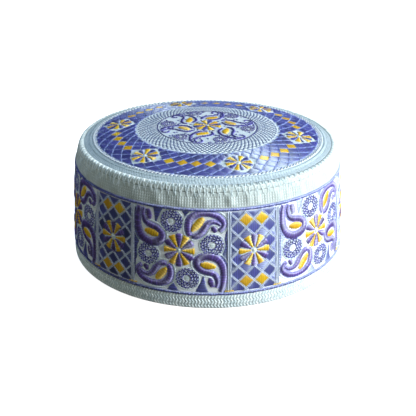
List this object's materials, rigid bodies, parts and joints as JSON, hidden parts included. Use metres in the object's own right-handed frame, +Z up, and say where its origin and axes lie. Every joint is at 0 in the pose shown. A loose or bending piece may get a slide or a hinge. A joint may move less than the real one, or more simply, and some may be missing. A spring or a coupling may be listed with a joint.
{
  "type": "prayer cap",
  "caption": "Round embroidered prayer cap with a domed crown, an overcast crown seam, a tall embroidered side band and a folded hem, open below for the head.",
  "frame": {"origin": "the middle of the bottom of the cap's box, on the surface that the hem rests on", "axes": "+Z up through the crown's centre, X along the long axis of the oval plan"},
  "size_m": [0.19, 0.1782, 0.0871],
  "materials": {
    "pale_cloth": "woven, matte with a soft sheen",
    "crown_cloth": "woven and quilted, soft sheen",
    "violet_thread": "satin-stitched thread",
    "gold_thread": "satin-stitched thread",
    "pale_thread": "twisted thread, soft sheen"
  },
  "bodies": {
    "root": {"hem_band": "pale_cloth", "embroidered_band": "violet_thread", "shoulder_band": "pale_cloth", "crown_edge_seam": "pale_thread", "crown_panel": "crown_cloth"}
  },
  "joints": []
}
